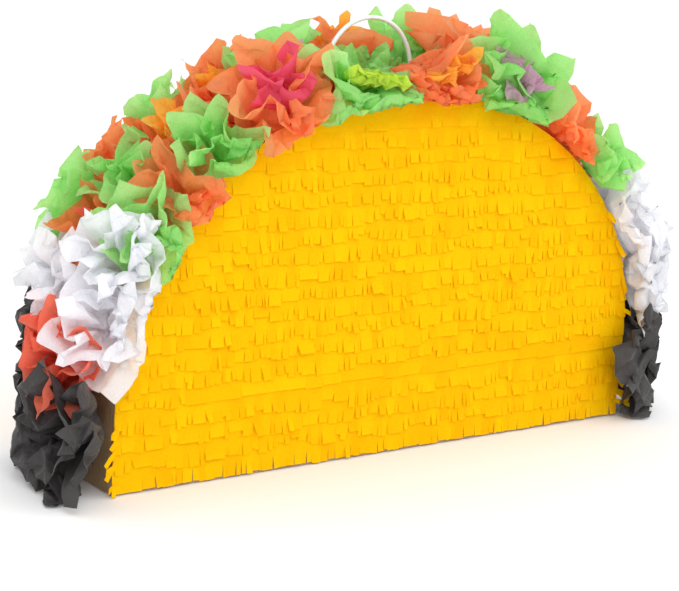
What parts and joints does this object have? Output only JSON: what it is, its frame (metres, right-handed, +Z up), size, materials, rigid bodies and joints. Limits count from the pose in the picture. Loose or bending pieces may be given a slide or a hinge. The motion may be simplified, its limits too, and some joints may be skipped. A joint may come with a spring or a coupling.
{
  "type": "pinata",
  "caption": "Hollow half-moon card pinata shaped as a taco, with fringed faces, tissue tufts round the rim, a filling flap in the back and a hanging loop on top.",
  "frame": {"origin": "centre of the card base's underside, on the surface the pinata stands on", "axes": "+X to the right across the half-moon face, +Y from the front face to the back face, +Z up"},
  "size_m": [0.4808, 0.1, 0.2695],
  "materials": {
    "yellow_tissue": "matt crepe tissue, cut into fringe",
    "orange_tissue": "thin translucent tissue",
    "green_tissue": "thin translucent tissue",
    "white_tissue": "thin translucent tissue",
    "coral_tissue": "thin translucent tissue",
    "black_tissue": "thin translucent tissue",
    "card": "brown corrugated card",
    "paper_tape": "gummed paper tape",
    "loop_white": "white plastic cord"
  },
  "bodies": {
    "shell": {"back_fringe_left": "yellow_tissue", "back_fringe_lower": "yellow_tissue", "back_fringe_right": "yellow_tissue", "back_fringe_upper": "yellow_tissue", "back_panel": "card", "base_panel": "card", "front_fringe_01": "yellow_tissue", "front_fringe_02": "yellow_tissue", "front_fringe_03": "yellow_tissue", "front_fringe_04": "yellow_tissue", "front_fringe_05": "yellow_tissue", "front_fringe_06": "yellow_tissue", "front_fringe_07": "yellow_tissue", "front_fringe_08": "yellow_tissue", "front_fringe_09": "yellow_tissue", "front_fringe_10": "yellow_tissue", "front_fringe_11": "yellow_tissue", "front_fringe_12": "yellow_tissue", "front_fringe_13": "yellow_tissue", "front_panel": "card", "hanger_patch": "card", "rim_band": "card", "seam_tape_arch_back": "paper_tape", "seam_tape_arch_front": "paper_tape", "seam_tape_base_back": "paper_tape", "seam_tape_base_front": "paper_tape", "tuft_back_01_black": "black_tissue", "tuft_back_02_coral": "coral_tissue", "tuft_back_03_white": "white_tissue", "tuft_back_04_orange": "orange_tissue", "tuft_back_05_green": "green_tissue", "tuft_back_06_orange": "orange_tissue", "tuft_back_07_orange": "orange_tissue", "tuft_back_08_green": "green_tissue", "tuft_back_09_orange": "orange_tissue", "tuft_back_10_green": "green_tissue", "tuft_back_11_orange": "orange_tissue", "tuft_back_12_white": "white_tissue", "tuft_back_13_white": "white_tissue", "tuft_back_14_black": "black_tissue", "tuft_front_01_black": "black_tissue", "tuft_front_02_white": "white_tissue", "tuft_front_03_white": "white_tissue", "tuft_front_04_orange": "orange_tissue", "tuft_front_05_green": "green_tissue", "tuft_front_06_orange": "orange_tissue", "tuft_front_07_green": "green_tissue", "tuft_front_08_orange": "orange_tissue", "tuft_front_09_green": "green_tissue", "tuft_front_10_orange": "orange_tissue", "tuft_front_11_green": "green_tissue", "tuft_front_12_white": "white_tissue", "tuft_front_13_white": "white_tissue", "tuft_front_14_black": "black_tissue"},
    "flap": {"fill_flap": "card", "flap_fringe": "yellow_tissue"},
    "hanger": {"hanging_loop": "loop_white", "loop_knot_left": "loop_white", "loop_knot_right": "loop_white"}
  },
  "joints": [
    {"name": "flap_hinge", "type": "hinge", "parent": "shell", "child": "flap", "pos_m": [0, 0.038, 0.12825], "axis": [1, 0, 0], "range_deg": [0, 100]},
    {"name": "loop_hinge", "type": "hinge", "parent": "shell", "child": "hanger", "pos_m": [-0.0065, 0, 0.22208], "axis": [1, 0, 0], "range_deg": [-20, 20]}
  ]
}
